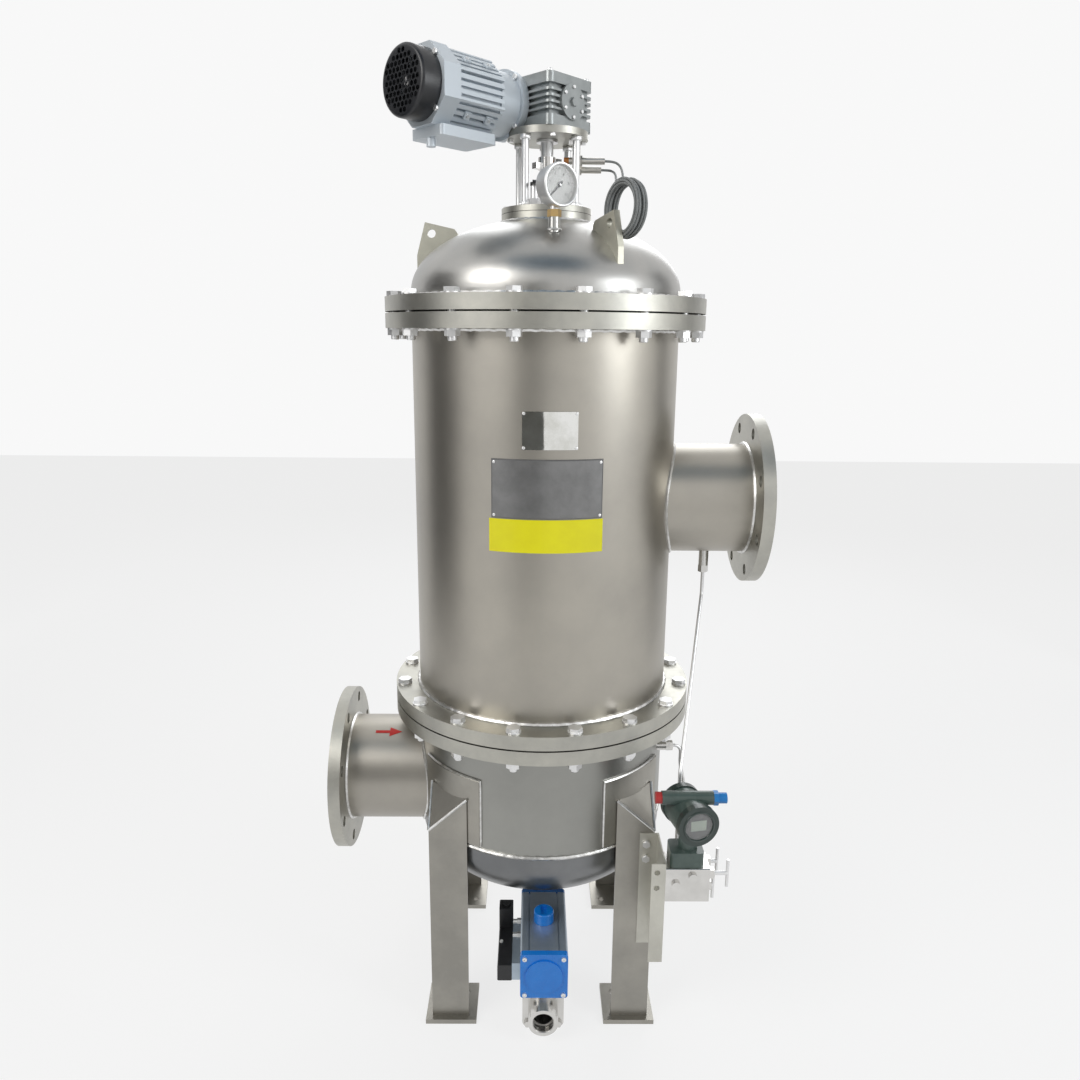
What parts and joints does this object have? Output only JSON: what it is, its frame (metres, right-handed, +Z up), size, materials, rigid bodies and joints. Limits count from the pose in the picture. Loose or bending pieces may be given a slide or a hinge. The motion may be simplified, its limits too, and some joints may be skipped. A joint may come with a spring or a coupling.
{
  "type": "self-cleaning cooling water filter",
  "caption": "Self-cleaning cooling tower filter: a stainless vessel on four legs with a geared brush drive, side nozzles and an actuated drain valve",
  "frame": {"origin": "centre of the four anchor holes on the floor, under the vessel's axis", "axes": "+Z up along the vessel's axis, -Y to the front where the drain valve points, +X to the right where the outlet nozzle is"},
  "size_m": [0.86, 0.6462, 1.8545],
  "materials": {
    "stainless": "bead blasted and pickled stainless steel with bright welds",
    "machined": "machined stainless steel",
    "bright_steel": "polished stainless steel",
    "dark_steel": "grey case with a white dial",
    "silver_paint": "light silver grey paint",
    "motor_paint": "pale silver blue paint",
    "grey_aluminium": "grey anodised aluminium",
    "blue_paint": "bright blue paint",
    "blue_plastic": "bright blue plastic",
    "green_paint": "dark green grey paint",
    "grey_paint": "light grey paint",
    "beige_sheet": "pale beige sheet steel",
    "brass": "plain brass",
    "black_plastic": "black plastic",
    "white_plastic": "white plastic",
    "black_rubber": "black rubber or cable sheath"
  },
  "bodies": {
    "vessel": {"leg_plates": "stainless", "legs": "stainless", "bottom_head": "stainless", "lower_shell": "stainless", "upper_shell": "stainless", "cover_head": "stainless", "body_flanges": "machined", "gaskets": "black_rubber", "flange_bolts": "bright_steel", "nozzle_pipes": "stainless", "nozzle_flanges": "machined", "lifting_lugs": "stainless", "screen_basket": "machined", "bottom_bearing": "machined", "drive_flanges": "machined", "shaft_seal": "black_rubber", "stand_rods": "bright_steel", "drive_top_plate": "machined", "gearbox_housing": "silver_paint", "motor_end_shields": "motor_paint", "motor_frame": "motor_paint", "fan_cover": "black_plastic", "terminal_box": "motor_paint", "sensor_bracket": "machined", "proximity_sensors": "bright_steel", "sensor_lead_upper": "black_rubber", "sensor_lead_lower": "black_rubber", "sensor_coil_upper": "black_rubber", "sensor_coil_lower": "black_rubber", "gauge_connector": "brass", "gauge_case": "dark_steel", "vent_valve": "bright_steel", "drain_pipe": "machined", "valve_body": "machined", "actuator_body": "grey_aluminium", "actuator_caps": "blue_paint", "solenoid_valve": "black_plastic", "transmitter_bracket": "beige_sheet", "manifold": "machined", "transmitter_housing": "grey_paint", "transmitter_covers": "green_paint", "conduit_fittings": "blue_plastic", "pressure_taps": "machined", "impulse_tubes": "bright_steel"},
    "rotor": {"drive_shaft": "bright_steel", "trip_cam": "machined", "brush_rotor": "machined", "worm_wheel": "brass"},
    "worm_line": {"worm_shaft": "bright_steel", "motor_fan": "black_plastic"},
    "drain_stem": {"valve_ball": "bright_steel", "position_indicator": "blue_plastic"},
    "front_piston": {"piston_front": "grey_aluminium"},
    "rear_piston": {"piston_rear": "grey_aluminium"},
    "pointer": {"gauge_pointer": "black_plastic"},
    "vent_handle": {"vent_lever": "black_plastic"},
    "high_handle": {"handle_high": "bright_steel"},
    "low_handle": {"handle_low": "bright_steel"},
    "equalizer_handle": {"handle_equalizer": "bright_steel"},
    "button": {"override_button": "white_plastic"}
  },
  "joints": [
    {"name": "drive_spin", "type": "hinge", "parent": "vessel", "child": "rotor", "pos_m": [0, 0, 1.2], "axis": [0, 0, 1], "continuous": true},
    {"name": "worm_spin", "type": "hinge", "parent": "vessel", "child": "worm_line", "pos_m": [-0.03535, 0.03535, 1.7915], "axis": [-0.7071, -0.7071, 0], "continuous": true},
    {"name": "drain_turn", "type": "hinge", "parent": "vessel", "child": "drain_stem", "pos_m": [0.006, -0.215, 0.135], "axis": [0, 0, 1], "range_deg": [0, 90]},
    {"name": "piston_front_slide", "type": "slide", "parent": "vessel", "child": "front_piston", "axis": [0, -1, 0], "range_m": [0, 0.019]},
    {"name": "piston_rear_slide", "type": "slide", "parent": "vessel", "child": "rear_piston", "axis": [0, 1, 0], "range_m": [0, 0.019]},
    {"name": "pointer_turn", "type": "hinge", "parent": "vessel", "child": "pointer", "pos_m": [0.01874, -0.18706, 1.63], "axis": [0.5736, -0.8192, 0], "range_deg": [-270, 0]},
    {"name": "vent_turn", "type": "hinge", "parent": "vessel", "child": "vent_handle", "pos_m": [-0.023, -0.056, 1.65], "axis": [0, 0, 1], "range_deg": [0, 90]},
    {"name": "high_valve_turn", "type": "hinge", "parent": "vessel", "child": "high_handle", "pos_m": [0.34, -0.3, 0.4], "axis": [1, 0, 0], "range_deg": [0, 720]},
    {"name": "low_valve_turn", "type": "hinge", "parent": "vessel", "child": "low_handle", "pos_m": [0.33, -0.262, 0.4], "axis": [1, 0, 0], "range_deg": [0, 720]},
    {"name": "equalizer_turn", "type": "hinge", "parent": "vessel", "child": "equalizer_handle", "pos_m": [0.33, -0.281, 0.362], "axis": [1, 0, 0], "range_deg": [0, 720]},
    {"name": "button_press", "type": "slide", "parent": "vessel", "child": "button", "axis": [0, 0, -1], "range_m": [0, 0.0015], "stiffness_N_per_m": 200}
  ],
  "couplings": [
    {"joint": "worm_spin", "follows": "drive_spin", "ratio": 50},
    {"joint": "piston_front_slide", "follows": "drain_turn", "m_per_rad": 0.012},
    {"joint": "piston_rear_slide", "follows": "drain_turn", "m_per_rad": 0.012}
  ]
}
